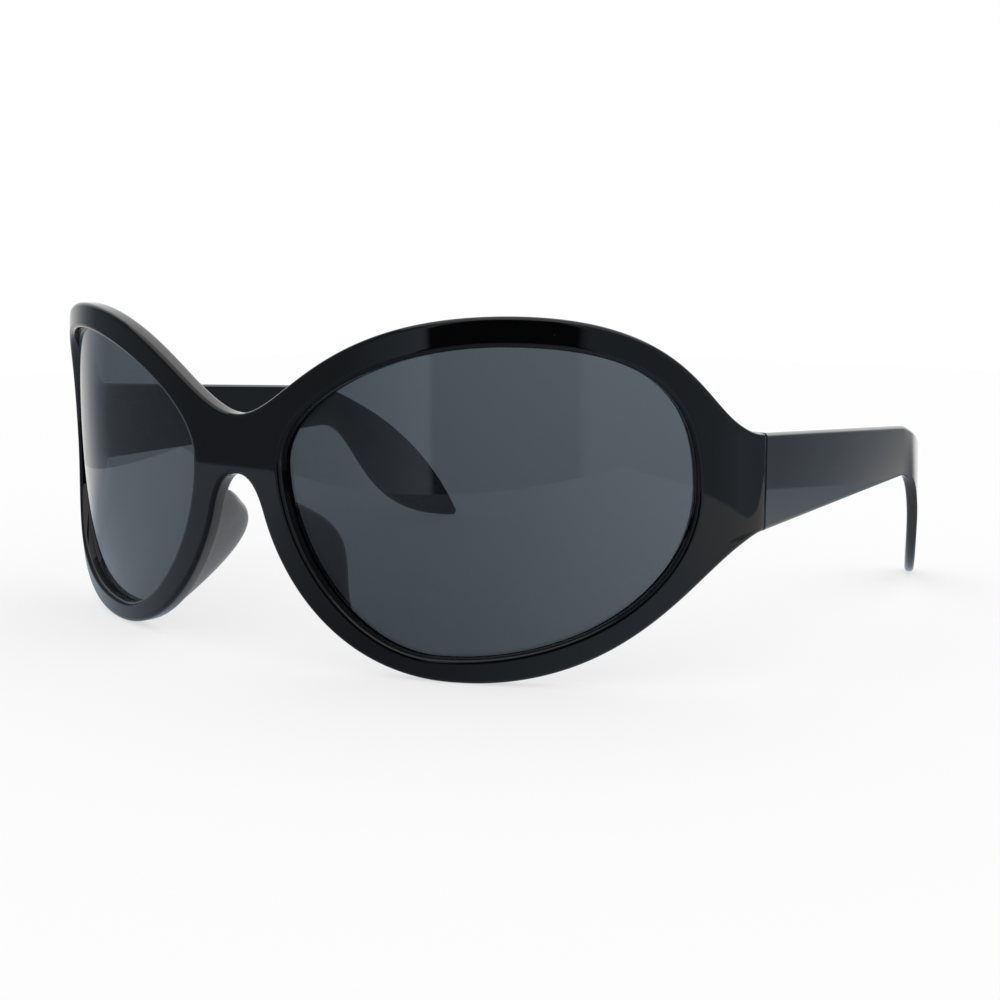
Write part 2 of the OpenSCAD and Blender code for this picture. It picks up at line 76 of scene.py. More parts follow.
temple = {"length": 98.6, "height": 15.2, "thick": 3.5, "tip": 1.8, "top": 38.8, "lean": 5.2, "bendIn": 10.2,
          "gap": 0.25, "bendStart": 0.673, "bendEase": 0.297, "roundShare": 0.45}

# the wrap's three arcs: a wide one over the lens, a tighter one past it, and the corner of the endpiece
sideStart = lens["near"] + lens["width"] * lens["sideShare"]
farS = lens["near"] + lens["width"]
cornerS = farS + front["sideRim"]
sideTurn = (sideStart - front["bridgeFlat"]) / front["baseR"]
cornerTurn = sideTurn + (cornerS - sideStart) / front["sideR"]
endS = cornerS + front["cornerR"] * (math.pi / 2 - cornerTurn)
sideX = front["bridgeFlat"] + (front["baseR"] - front["sideR"]) * math.sin(sideTurn)
sideBack = front["baseR"] - (front["baseR"] - front["sideR"]) * math.cos(sideTurn)
cornerX = sideX + (front["sideR"] - front["cornerR"]) * math.sin(cornerTurn)
cornerBack = sideBack - (front["sideR"] - front["cornerR"]) * math.cos(cornerTurn)
halfWidth = cornerX + front["cornerR"]
midZ = front["height"] / 2
tiltSlope = math.tan(math.radians(front["tilt"]))
faceLead = front["riseR"] * tiltSlope ** 2 / 2
frontY = faceLead - (faceLead + cornerBack + temple["length"]) / 2
jointY = frontY + cornerBack
wrapArcs = [(front["bridgeFlat"], front["baseR"], front["baseR"], 0, front["bridgeFlat"]),
            (sideX, sideBack, front["sideR"], sideTurn, sideStart),
            (cornerX, cornerBack, front["cornerR"], cornerTurn, cornerS)]  # centre x and y, radius, turn, start


# flat points (s, z, d) to their wrapped places; rise and tilt fade out over the endpiece
def wrapped(points):
    s, z, d = points[..., 0], points[..., 1], points[..., 2]
    fade = np.where(s <= farS, 1, np.cos(np.pi / 2 * np.clip((s - farS) / (endS - farS), 0, 1)) ** 2)
    deep = d + fade * ((z - midZ) ** 2 / (2 * front["riseR"]) - (z - midZ) * tiltSlope)
    x, y = s.copy(), frontY + deep
    for centreX, centreY, r, turn, start in wrapArcs:
        on = s > start
        a = turn + (s - start) / r
        x = np.where(on, centreX + (r - deep) * np.sin(a), x)
        y = np.where(on, frontY + centreY - (r - deep) * np.cos(a), y)
    return np.stack([x, y, z], -1)


# depth of the lens behind the face: it keeps the wide arc where the front turns more tightly
def lensDepth(q):
    turn = np.maximum(0, q[..., 0] - sideStart) / front["sideR"]
    apart = front["baseR"] - front["sideR"]
    fall = np.sqrt(front["baseR"] ** 2 - (apart * np.sin(turn)) ** 2) - apart * np.cos(turn) - front["sideR"]
    return lens["depth"] - fall + (q[..., 1] - midZ) ** 2 * (1 / lens["riseR"] - 1 / front["riseR"]) / 2


def cubic(p, t):
    p, t = np.array(p, float), np.asarray(t, float)[..., None]
    return (1 - t) ** 3 * p[0] + 3 * t * (1 - t) ** 2 * p[1] + 3 * t * t * (1 - t) * p[2] + t ** 3 * p[3]


# direction of a cubic curve, of length 1
def cubicWay(p, t):
    p, t = np.array(p, float), np.asarray(t, float)[..., None]
    v = (1 - t) ** 2 * (p[1] - p[0]) + 2 * t * (1 - t) * (p[2] - p[1]) + t * t * (p[3] - p[2])
    return v / np.linalg.norm(v, axis=-1, keepdims=True)


def mix(a, b, t):
    return a + (b - a) * t


# one quarter of the lens opening, between two of its outermost points
def quarter(a, b, upright, i):
    corner = np.array([a[0], b[1]] if upright else [b[0], a[1]])
    a, b = np.array(a), np.array(b)
    return [a, mix(a, corner, lens["leave"][i]), mix(b, corner, lens["arrive"][i]), b]


nearPoint = (lens["near"], lens["low"] + lens["height"] * lens["nearZ"])
topPoint = (lens["near"] + lens["width"] * lens["topS"], lens["low"] + lens["height"])
farPoint = (farS, lens["low"] + lens["height"] * lens["farZ"])
lowPoint = (lens["near"] + lens["width"] * lens["lowS"], lens["low"])
opening = [quarter(nearPoint, topPoint, True, 0), quarter(topPoint, farPoint, False, 1),
           quarter(farPoint, lowPoint, True, 2), quarter(lowPoint, nearPoint, False, 3)]


# the opening's edge at turns from 0 to 4, moved outwards
def openingEdge(turn, out):
    turn, out = np.broadcast_arrays(np.mod(turn, 4), out)
    edge = np.zeros(turn.shape + (2,))
    for i, curve in enumerate(opening):
        on = np.floor(turn) == i
        t = turn[on] - i
        v = cubicWay(curve, t)
        edge[on] = cubic(curve, t) + out[on][:, None] * np.stack([-v[:, 1], v[:, 0]], -1)
    return edge


# where the outline's curves have their handles, as shares of the way along and of the height
handles = {"bridge": 0.209, "brow": 0.361, "shoulder": 0.782, "aboveJoint": 0.719, "belowJoint": 0.189,
           "cheek": 0.358, "rim": 0.512, "besideNose": (0.227, 0.522), "nose": (0.567, 0.806),
           "pastNose": (0.802, 0.563), "arch": 0.545}
jointTop, jointLow = (endS, temple["top"]), (endS, temple["top"] - temple["height"])
browPoint, rimLow = (front["browS"], front["height"]), (front["lowS"], 0)
noseS, noseZ = lens["near"] * handles["nose"][0], front["arch"] * handles["nose"][1]
overBrow = [(0, front["bridgeTop"]), (front["browS"] * handles["bridge"], front["bridgeTop"]),
            (front["browS"] * handles["brow"], front["height"]), browPoint]
toJoint = [browPoint, (mix(front["browS"], endS, handles["shoulder"]), front["height"]),
           (mix(front["browS"], endS, handles["aboveJoint"]), temple["top"]), jointTop]
fromJoint = [jointLow, (mix(endS, front["lowS"], handles["belowJoint"]), jointLow[1]),
             (mix(endS, front["lowS"], handles["cheek"]), 0), rimLow]
toNose = [rimLow, (front["lowS"] * handles["rim"], 0),
          (front["lowS"] * handles["besideNose"][0], noseZ * handles["besideNose"][1]), (noseS, noseZ)]
toArch = [(noseS, noseZ), (noseS * handles["pastNose"][0], mix(noseZ, front["arch"], handles["pastNose"][1])),
          (noseS * handles["arch"], front["arch"]), (0, front["arch"])]

# turns round the opening that parts of the outline face, and how many points each part has
turns = {"bridgeTop": 0.18, "brow": 1, "jointTop": 1.8, "jointLow": 2.18, "rimLow": 3, "nose": 3.76, "arch": 3.93}
outlinePoints = {"overBrow": 90, "toJoint": 110, "joint": 9, "fromJoint": 110, "toNose": 110, "toArch": 26,
                 "seam": 12}


# rows of s, z, outward direction and facing turn, from the bridge's top round the rim to the arch
def outline():
    rows = []

    def along(p, count, start, end):
        t = np.arange(count) / count
        c, v = cubic(p, t), cubicWay(p, t)
        rows.append(np.column_stack([c, -v[:, 1], v[:, 0], mix(start, end, t)]))

    along(overBrow, outlinePoints["overBrow"], turns["bridgeTop"], turns["brow"])
    along(toJoint, outlinePoints["toJoint"], turns["brow"], turns["jointTop"])
    count = outlinePoints["joint"]
    t = np.linspace(0, 1, count)
    crisp = front["edgeBreak"] / front["faceRound"]  # the joint's edges are broken and not rounded
    upDown = np.where(t == 0, 1, np.where(t == 1, -1, 0))
    rows.append(np.column_stack([np.full(count, endS), mix(jointTop[1], jointLow[1], t), np.full(count, crisp),
                                 upDown, mix(turns["jointTop"], turns["jointLow"], t)]))
    along(fromJoint, outlinePoints["fromJoint"], turns["jointLow"], turns["rimLow"])
    rows[-1] = rows[-1][1:]
    along(toNose, outlinePoints["toNose"], turns["rimLow"], turns["nose"])
    along(toArch, outlinePoints["toArch"], turns["nose"], turns["arch"])
    rows.append(np.array([[0, front["arch"], 0, -1, turns["arch"]]]))
    return np.concatenate(rows)


roundingPoints = {"face": 10, "back": 7, "temple": 8}
faceTurns = np.radians(np.linspace(0, 90, roundingPoints["face"]))
backTurns = np.radians(np.linspace(0, 90, roundingPoints["back"]))
templeTurns = np.radians(np.linspace(0, 90, roundingPoints["temple"]))
faceShares = [0.01, 0.05, 0.15, 0.32, 0.5, 0.68, 0.85, 0.95, 0.99]  # columns across the rim's face and back


# inset and depth over a rounding from the face to a wall, and from a wall to the back
def faceArc(r):
    return [(r * (1 - math.sin(a)), r * (1 - math.cos(a))) for a in faceTurns]


def backArc(r):
    return [(r * (1 - math.cos(a)), front["thick"] - r * (1 - math.sin(a))) for a in backTurns]


# the opening's side of the rim: rounding, groove for the lens, rounding
def innerRing(turn):
    edge = openingEdge(turn, 0)
    lip = lensDepth(edge) - lens["fit"]
    heel = front["thick"] - lensDepth(edge) - lens["thick"] - lens["fit"]
    faceR = np.minimum(front["openingRound"], lip * lens["lipShare"])
    backR = np.minimum(front["backRound"], heel * lens["lipShare"])
    ahead, behind = np.full_like(turn, -lens["fit"]), np.full_like(turn, lens["thick"] + lens["fit"])
    groove = [(0, ahead), (lens["groove"], ahead), (lens["groove"], behind), (0, behind)]
    section = [(*row, 0) for row in faceArc(faceR)]
    section += [(*row, 1) for row in groove]  # 1 where the depth is counted from the lens
    section += [(*row, 0) for row in backArc(backR)]
    points = []
    for inset, depth, onLens in section:
        q = openingEdge(turn, inset)
        points.append(np.column_stack([q, depth + onLens * lensDepth(q)]))
    return np.stack(points, 1)


# the outline's side of the rim
def outerRing(rows):
    section = faceArc(front["faceRound"]) + backArc(front["backRound"])
    points = [np.column_stack([rows[:, 0] - inset * rows[:, 2], rows[:, 1] - inset * rows[:, 3],
                               np.full(len(rows), depth)]) for inset, depth in section]
    return np.stack(points, 1)


weldDistance, sharpAngle = 2e-6, math.radians(35)  # metres, and the least angle of an edge that stays sharp


def makeMesh(name, points, faces):
    mesh = bpy.data.meshes.new(name)
    mesh.from_pydata([tuple(p * mm) for p in points], [], faces)
    bm = bmesh.new()
    bm.from_mesh(mesh)
    bmesh.ops.remove_doubles(bm, verts=bm.verts, dist=weldDistance)
    bmesh.ops.recalc_face_normals(bm, faces=bm.faces)
    bm.to_mesh(mesh)
    bm.free()
    mesh.shade_smooth()
    mesh.set_sharp_from_angle(angle=sharpAngle)
    obj = bpy.data.objects.new(name, mesh)
    scene.collection.objects.link(obj)
    return obj


# quads between rows of points whose columns run round; roundRows joins the last row to the first
def gridFaces(rows, columns, roundRows=False, skip=None):
    faces = []
    for k in range(rows if roundRows else rows - 1):
        for p in range(columns):
            if skip and skip(k, p):
                continue
            a, b = k * columns, (k + 1) % rows * columns
            faces.append((a + p, b + p, b + (p + 1) % columns, a + (p + 1) % columns))
    return faces


def endFaces(rows, columns):
    return [tuple(range(columns)), tuple((rows - 1) * columns + i for i in range(columns))]


# both rims with their grooves, the bridge and the endpieces in one shell
def addFront():
    rows = outline()
    rims = len(rows)
    t = np.arange(1, outlinePoints["seam"]) / outlinePoints["seam"]
    seam = np.column_stack([np.zeros_like(t), mix(front["arch"], front["bridgeTop"], t), np.zeros_like(t),
                            np.zeros_like(t), mix(turns["arch"], turns["bridgeTop"] + 4, t)])
    rows = np.concatenate([rows, seam])
    inner, outer = innerRing(rows[:, 4]), outerRing(rows)
    back = [mix(inner[:, -1], outer[:, -1], share) for share in faceShares]
    face = [mix(outer[:, 0], inner[:, 0], share) for share in faceShares]
    ring = np.concatenate([inner, np.stack(back, 1), outer[:, ::-1], np.stack(face, 1)], 1)
    wallStart = inner.shape[1] + len(faceShares)
    wall = range(wallStart, wallStart + outer.shape[1])
    half = wrapped(ring).reshape(-1, 3)

    def inSeam(k, p):  # the two halves meet here, with no wall between them
        return k >= rims - 1 and p in wall and p + 1 in wall

    faces = gridFaces(*ring.shape[:2], True, inSeam)
    faces += [tuple(len(half) + i for i in reversed(f)) for f in faces]
    return makeMesh("frontShell", np.concatenate([half, half * np.array([-1, 1, 1])]), faces)


# a lens: two sheets that follow the wrap, closed by the edge that sits in the groove
def addLens(name, side):
    count, rings = lens["pointsRound"], lens["rings"]
    edge = openingEdge(4 * np.arange(count) / count, lens["groove"] - lens["fit"])
    middle = np.array([lens["near"] + lens["width"] / 2, lens["low"] + lens["height"] / 2])
    plan = np.stack([mix(middle, edge, t) for t in np.linspace(0, 1, rings + 1)[1:]])
    flat = np.concatenate([[middle], plan.reshape(-1, 2)])
    sheets = [wrapped(np.column_stack([flat, lensDepth(flat) + depth])) for depth in (0, lens["thick"])]
    size = len(flat)
    after = [(k + 1) % count for k in range(count)]
    faces = []
    for o in (0, size):
        faces += [(o, o + 1 + k, o + 1 + after[k]) for k in range(count)]
        for j in range(rings - 1):
            a, b = o + 1 + j * count, o + 1 + (j + 1) * count
            faces += [(a + k, b + k, b + after[k], a + after[k]) for k in range(count)]
    a = 1 + (rings - 1) * count
    faces += [(a + k, a + size + k, a + size + after[k], a + after[k]) for k in range(count)]
    return makeMesh(name, np.concatenate(sheets) * np.array([side, 1, 1]), faces)


# a nose pad runs up the rim beside the nose and a little way into the arch
pad = {"reach": 10, "foot": 0.4, "splay": 1.6, "noseStart": 8 / 18, "archEnd": 0.25, "noseShare": 10 / 11,
       "eyeShare": 0.4, "inset": 0.02, "peak": 1.5, "fullness": 0.7, "crownFullness": 0.6,
       "pointsAlong": 72, "pointsOver": 40, "pointsBack": 6}


# a pad grows from the rim's own back edge, with a crown that leans away from the nose
def addPad(name, side):
    u = np.linspace(0, 1, pad["pointsAlong"])
    onNose = u <= pad["noseShare"]
    t = np.where(onNose, mix(pad["noseStart"], 1, u / pad["noseShare"]),
                 pad["archEnd"] * (u - pad["noseShare"]) / (1 - pad["noseShare"]))
    c = np.where(onNose[:, None], cubic(toNose, t), cubic(toArch, t))
    v = np.where(onNose[:, None], cubicWay(toNose, t), cubicWay(toArch, t))
    turn = np.where(onNose, mix(turns["rimLow"], turns["nose"], t), mix(turns["nose"], turns["arch"], t))
    rows = np.column_stack([c, -v[:, 1], v[:, 0]])
    inner, outer = innerRing(turn), outerRing(rows)
    shares = np.linspace(pad["eyeShare"], 1, pad["pointsBack"] + 1)[:-1]
    root = np.stack([mix(inner[:, -1], outer[:, -1], share) for share in shares]
                    + [outer[:, -1 - i] for i in range(len(backTurns))], 1)
    eye, nose = root[:, 0], root[:, -1]
    swell = np.sin(np.pi * mix(pad["inset"], 1 - pad["inset"], u) ** pad["peak"]) ** pad["fullness"]
    lift = mix(pad["foot"], pad["reach"], swell)
    crown = []
    for a in np.linspace(0, np.pi, pad["pointsOver"] + 2)[1:-1]:
        up = lift * math.sin(a) ** pad["crownFullness"]
        lean = pad["splay"] * up / pad["reach"]
        crown.append(mix(nose, eye, (1 - math.cos(a)) / 2)
                     + np.column_stack([-lean * rows[:, 2], -lean * rows[:, 3], up]))
    ring = np.concatenate([root, np.stack(crown, 1)], 1)
    points = wrapped(ring).reshape(-1, 3) * np.array([side, 1, 1])
    return makeMesh(name, points, gridFaces(*ring.shape[:2]) + endFaces(*ring.shape[:2]))


# the ear piece in side view, as distance back from the joint and height
ear = {"start": 0.625, "topZ": 0.882, "lowZ": 0.112, "tipZ": 0.8, "pointsBefore": 23, "pointsAlong": 90,
       "topLeave": (0.215, 0.964), "topArrive": (0.729, 0.683), "lowLeave": (0.408, 1.008),
       "lowArrive": (0.256, 0.078)}
earStart = temple["length"] * ear["start"]
earLength = temple["length"] - earStart
earTop = temple["top"] * ear["topZ"]
earLow = mix(jointLow[1], earTop, ear["lowZ"])
tipHeight = temple["tip"] * ear["tipZ"]


def earHandle(share, height):
    return earStart + earLength * share[0], height * share[1]


earTopCurve = [(earStart, earTop), earHandle(ear["topLeave"], earTop), earHandle(ear["topArrive"], earTop),
               (temple["length"], tipHeight)]
earLowCurve = [(earStart, earLow), earHandle(ear["lowLeave"], earLow), earHandle(ear["lowArrive"], earLow),
               (temple["length"] - tipHeight / 2, 0)]


# how far from the middle the temple's outer side stands: it leans in, and bends in further behind the ear
def templeOut(y):
    share = y / temple["length"]
    t, ease = np.maximum(0, (share - temple["bendStart"]) / (1 - temple["bendStart"])), temple["bendEase"]
    bend = np.where(t < ease, t * t / ease / 2, t - ease / 2) / (1 - ease / 2)
    return halfWidth - temple["lean"] * share - temple["bendIn"] * bend


def addTemple(name, side):
    straight = np.linspace(0, 1, ear["pointsBefore"] + 1)[:-1]
    t = np.linspace(0, 1, ear["pointsAlong"])
    back = mix(temple["gap"], earStart, straight)
    tops = np.concatenate([np.column_stack([back, mix(temple["top"], earTop, straight)]), cubic(earTopCurve, t)])
    lows = np.concatenate([np.column_stack([back, mix(jointLow[1], earLow, straight)]), cubic(earLowCurve, t)])
    span = np.linalg.norm(tops - lows, axis=1)
    upward = (tops - lows) / span[:, None]
    thick = mix(temple["thick"], temple["tip"], (tops[:, 0] + lows[:, 0]) / 2 / temple["length"])
    most = np.minimum(span, thick) * temple["roundShare"]
    outer, inner = np.minimum(front["faceRound"], most), np.minimum(front["backRound"], most)
    ring = []

    def place(q, depth):
        ring.append(np.column_stack([templeOut(q[:, 0]) - depth, jointY + q[:, 0], q[:, 1]]))

    # round the section: the outer side's lower and upper edge, then the inner side's upper and lower edge
    for a in templeTurns:
        place(lows + upward * (outer * (1 - math.cos(a)))[:, None], outer * (1 - math.sin(a)))
    for a in templeTurns:
        place(tops - upward * (outer * (1 - math.sin(a)))[:, None], outer * (1 - math.cos(a)))
    for a in templeTurns:
        place(tops - upward * (inner * (1 - math.cos(a)))[:, None], thick - inner * (1 - math.sin(a)))
    for a in templeTurns:
        place(lows + upward * (inner * (1 - math.sin(a)))[:, None], thick - inner * (1 - math.cos(a)))
    ring = np.stack(ring, 1)
    # the joint's end has a broken edge: its face is a little smaller, and the full section starts behind it
    inwards = ring[0].mean(0) - ring[0]
    lip = ring[0] + inwards * front["edgeBreak"] / np.abs(inwards).max(0).clip(1)
    ring[0, :, 1] += front["edgeBreak"]
    ring = np.concatenate([lip[None], ring])
    points = ring.reshape(-1, 3) * np.array([side, 1, 1])
    return makeMesh(name, points, gridFaces(*ring.shape[:2]) + endFaces(*ring.shape[:2]))


def newMaterial(name, color, roughness, ior=1.5):
    mat = bpy.data.materials.new(name)
    mat.use_nodes = True
    shader = mat.node_tree.nodes["Principled BSDF"]
    shader.inputs["Base Color"].default_value = (*color, 1)
    shader.inputs["Roughness"].default_value = roughness
    shader.inputs["IOR"].default_value = ior
    return mat, mat.node_tree.nodes, mat.node_tree.links, shader


def newGroup(name, inputs, outputs):
    group = bpy.data.node_groups.new(name, "ShaderNodeTree")
    for label, value in inputs.items():
        socket = group.interface.new_socket(label, in_out="INPUT", socket_type="NodeSocketFloat")
        socket.default_value = value
    for label in outputs:
        group.interface.new_socket(label, in_out="OUTPUT", socket_type="NodeSocketFloat")
    return group, group.nodes.new("NodeGroupInput"), group.nodes.new("NodeGroupOutput")


def addGroup(nodes, group, values):
    node = nodes.new("ShaderNodeGroup")
    node.node_tree = group
    for label, value in values.items():
        node.inputs[label].default_value = value
    return node


def mapRange(tree, source, low, high, toLow=0.0, toHigh=1.0):
    node = tree.nodes.new("ShaderNodeMapRange")
    node.inputs["From Min"].default_value, node.inputs["From Max"].default_value = low, high
    node.inputs["To Min"].default_value, node.inputs["To Max"].default_value = toLow, toHigh
    tree.links.new(source, node.inputs["Value"])
    return node.outputs["Result"]


# a number or a colour is set on the socket, and a node's output is linked to it
def feed(tree, socket, value):
    if isinstance(value, (int, float)):
        socket.default_value = value
    elif isinstance(value, tuple):
        socket.default_value = (*value, 1)
    else:
        tree.links.new(value, socket)


def mathNode(tree, kind, *values):
    node = tree.nodes.new("ShaderNodeMath")
    node.operation = kind
    for socket, value in zip(node.inputs, values):
        feed(tree, socket, value)
    return node.outputs[0]


def mixColors(tree, factor, a, b, kind="MIX"):
    node = tree.nodes.new("ShaderNodeMix")
    node.data_type, node.blend_type = "RGBA", kind
    feed(tree, node.inputs["Factor"], factor)
    feed(tree, node.inputs["A"], a)
    feed(tree, node.inputs["B"], b)
    return node.outputs["Result"]


def noiseNode(tree, vector, scale, detail):
    node = tree.nodes.new("ShaderNodeTexNoise")
    node.inputs["Detail"].default_value = detail
    tree.links.new(vector, node.inputs["Vector"])
    feed(tree, node.inputs["Scale"], scale)
    return node.outputs["Fac"]


# handling marks; scales are per metre, and each range is where a mark begins and where it is full;
# smearRough is the share of a finish's roughness that a smear adds
wear = {"smearScale": 38, "smearDetail": 3, "smearRange": (0.42, 0.7), "smearRough": 0.4,
        "scratchScale": 90, "scratchDetail": 4, "scratchRange": (0.66, 0.74), "scratchStretch": (1, 1, 14),
        "scratchTurn": (0.5, 0.3, 0.2), "dustScale": 900, "dustRim": (0.05, 0.1), "dustRarity": (0.975, 0.98),
        "dustColor": (0.16, 0.155, 0.15), "dustAmount": 0.15}
markScales = {"Scratch Scale": wear["scratchScale"], "Dust Scale": wear["dustScale"]}


# broad smears, hairline scratches and a few dust specks, as masks
def marksGroup():
    group, given, made = newGroup("handlingMarks", markScales, ["Smear", "Scratches", "Dust"])
    place = group.nodes.new("ShaderNodeTexCoord").outputs["Object"]
    smear = noiseNode(group, place, wear["smearScale"], wear["smearDetail"])
    group.links.new(mapRange(group, smear, *wear["smearRange"]), made.inputs["Smear"])
    stretch = group.nodes.new("ShaderNodeMapping")
    stretch.inputs["Scale"].default_value = wear["scratchStretch"]
    stretch.inputs["Rotation"].default_value = wear["scratchTurn"]
    group.links.new(place, stretch.inputs["Vector"])
    lines = noiseNode(group, stretch.outputs["Vector"], given.outputs["Scratch Scale"], wear["scratchDetail"])
    group.links.new(mapRange(group, lines, *wear["scratchRange"]), made.inputs["Scratches"])
    specks = group.nodes.new("ShaderNodeTexVoronoi")
    group.links.new(place, specks.inputs["Vector"])
    group.links.new(given.outputs["Dust Scale"], specks.inputs["Scale"])
    near = mapRange(group, specks.outputs["Distance"], *wear["dustRim"], 1, 0)
    cell = group.nodes.new("ShaderNodeSeparateColor")
    group.links.new(specks.outputs["Color"], cell.inputs["Color"])
    rare = mapRange(group, cell.outputs["Red"], *wear["dustRarity"])
    group.links.new(mathNode(group, "MULTIPLY", near, rare), made.inputs["Dust"])
    return group


moulding = {"scale": 55, "detail": 1, "height": 0.00002, "strength": 0.25}  # scale per metre, height in metres


# the faint ripple of a moulded and polished surface, as a height
def rippleGroup():
    group, given, made = newGroup("mouldRipple", {"Scale": moulding["scale"]}, ["Height"])
    place = group.nodes.new("ShaderNodeTexCoord").outputs["Object"]
    group.links.new(noiseNode(group, place, given.outputs["Scale"], moulding["detail"]), made.inputs["Height"])
    return group


marks, ripple = marksGroup(), rippleGroup()

# the hard finishes; scratchRough is the roughness that a scratch adds
finishes = {
    "frontPlastic": {"color": (0.0012, 0.0012, 0.0014), "roughness": 0.035, "scratchRough": 0.05},
    "templePlastic": {"color": (0.0012, 0.0012, 0.0014), "roughness": 0.0455, "scratchRough": 0.05},
    "padPlastic": {"color": (0.046, 0.047, 0.051), "roughness": 0.26, "scratchRough": 0.05},
    "blackLacquer": {"color": (0.012, 0.012, 0.013), "roughness": 0.24, "scratchRough": 0.12},
    "blackSteel": {"color": (0.06, 0.06, 0.063), "roughness": 0.32, "scratchRough": 0.15, "metallic": 1},
    "drawnWire": {"color": (0.6, 0.6, 0.61), "roughness": 0.3, "scratchRough": 0.05, "metallic": 1}}


# one of them as a material, with its ripple, smears, scratches and dust
def hardFinish(name):
    finish = finishes[name]
    roughness = finish["roughness"]
    mat, nodes, links, shader = newMaterial(name, finish["color"], roughness)
    shader.inputs["Metallic"].default_value = finish.get("metallic", 0)
    tree = mat.node_tree
    mark = addGroup(nodes, marks, markScales)
    wave = addGroup(nodes, ripple, {"Scale": moulding["scale"]})
    bump = nodes.new("ShaderNodeBump")
    bump.inputs["Strength"].default_value = moulding["strength"]
    bump.inputs["Distance"].default_value = moulding["height"]
    links.new(wave.outputs["Height"], bump.inputs["Height"])
    links.new(bump.outputs["Normal"], shader.inputs["Normal"])
    scratched = mathNode(tree, "MULTIPLY_ADD", mark.outputs["Scratches"], finish["scratchRough"], roughness)
    smeared = mathNode(tree, "MULTIPLY", mark.outputs["Smear"], roughness * wear["smearRough"])
    links.new(mathNode(tree, "ADD", scratched, smeared), shader.inputs["Roughness"])
    dusty = mathNode(tree, "MULTIPLY", mark.outputs["Dust"], wear["dustAmount"])
    links.new(mixColors(tree, dusty, finish["color"], wear["dustColor"]), shader.inputs["Base Color"])
    return mat


# the lens is tinted a little less towards the temple and the brow, which is painted light; across and upward are
# ranges in metres
tintWithPaintedLight = {"noseLow": (0.043, 0.053, 0.060), "noseHigh": (0.055, 0.070, 0.080), "sideLow": (0.066, 0.082, 0.092),
        "sideHigh": (0.092, 0.116, 0.130), "across": (0.010, 0.068), "upward": (0.008, 0.050), "ior": 1.59,
        "smearRough": 0.004, "slant": (0.42, 0.85), "slantShade": (1, 0.25)}


def tintedLensWithPaintedLight():
    mat, nodes, links, shader = newMaterial("tintedLensWithPaintedLight", tintWithPaintedLight["noseLow"], 0.0, tintWithPaintedLight["ior"])
    tree = mat.node_tree
    shader.inputs["Transmission Weight"].default_value = 1.0
    place = nodes.new("ShaderNodeTexCoord")
    axes = nodes.new("ShaderNodeSeparateXYZ")
    links.new(place.outputs["Object"], axes.inputs["Vector"])
    across = mapRange(tree, mathNode(tree, "ABSOLUTE", axes.outputs["X"]), *tintWithPaintedLight["across"])
    upward = mapRange(tree, axes.outputs["Z"], *tintWithPaintedLight["upward"])
    # painted light: the lens's own dark tint lightens from the nose to the temple and from the bottom upward
    low = mixColors(tree, across, tintWithPaintedLight["noseLow"], tintWithPaintedLight["sideLow"])
    high = mixColors(tree, across, tintWithPaintedLight["noseHigh"], tintWithPaintedLight["sideHigh"])
    # light that crosses at a slant goes through more tint
    slant = nodes.new("ShaderNodeLayerWeight")
    shade = mapRange(tree, slant.outputs["Facing"], *tintWithPaintedLight["slant"], *tintWithPaintedLight["slantShade"])
    links.new(mixColors(tree, 1, mixColors(tree, upward, low, high), shade, "MULTIPLY"), shader.inputs["Base Color"])
    mark = addGroup(nodes, marks, markScales)
    links.new(mathNode(tree, "MULTIPLY", mark.outputs["Smear"], tintWithPaintedLight["smearRough"]), shader.inputs["Roughness"])
    return mat


frontPlastic, templePlastic, padPlastic = (hardFinish(n) for n in ("frontPlastic", "templePlastic", "padPlastic"))
lensTintWithPaintedLight = tintedLensWithPaintedLight()
print("materials made")


def dress(obj, mat, body, slot, *nodes):
    obj.data.materials.append(mat)
    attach(obj, body)
    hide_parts(*nodes)


dress(addFront(), frontPlastic, "front", "front_plastic", "frame_front")
print("front built")
for side, word in ((1, "left"), (-1, "right")):
    dress(addLens(word + "Lens", side), lensTintWithPaintedLight, "front", "tinted_lens", "lens_" + word)
    dress(addPad(word + "NosePad", side), padPlastic, "front", "pad_plastic", "nose_pad_" + word)
    dress(addTemple(word + "Temple", side), templePlastic, word + "_temple", "temple_plastic", "temple_" + word)
    print(word, "lens, pad and temple built")

# the solids of the hinges and wire cores are shown as they are, with a finish
hardware = {"leaf": hardFinish("blackLacquer"), "screw": hardFinish("blackSteel"), "core": hardFinish("drawnWire")}
for name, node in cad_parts.items():
    for word, finish in hardware.items():
        if word in name:
            node.data.materials.clear()
            node.data.materials.append(finish)
print("hinges and cores finished")

# White paper under a white world, and grey cards that only gloss can see; the floor card's tones are painted light
# and shade of the floor. Lengths are in metres. A card's tones go round it by azimuth in degrees, 0 at -Y and 90 at
# +X; those from neutralFrom up aren't tinted.
studio = {"paperFront": 0.235, "paperSide": 0.5, "paperBack": 0.6, "paperColor": (0.97, 0.97, 0.97),
          "paperRoughness": 0.9, "paperGlow": 0.63, "worldColor": (1, 1, 1), "worldStrength": 1.0,
          "wallRadius": 3.0, "wallTop": 4.0, "wallBottom": -1.7, "wallSides": 72,
          "cardFront": 0.205, "cardSide": 0.215, "cardBack": 0.15, "cardLift": 0.0002,
          "cardTint": (0.86, 1.0, 1.16), "neutralFrom": 0.7}
wallTones = [(-90, 0.16), (-75, 0.17), (-60, 0.19), (-45, 0.18), (-22, 0.2), (-9, 0.38), (-1.5, 0.5),
             (-0.5, 0.012), (34.5, 0.012), (35.5, 0.30), (48, 0.29), (62, 0.30), (75, 0.36), (86, 0.48),
             (105, 0.42), (125, 0.32), (150, 0.2), (155, 0.24), (158, 0.29), (161, 0.42), (163.5, 0.75),
             (167, 1.6), (172, 2.2), (220, 1.1), (250, 0.7), (262, 0.3), (270, 0.16)]
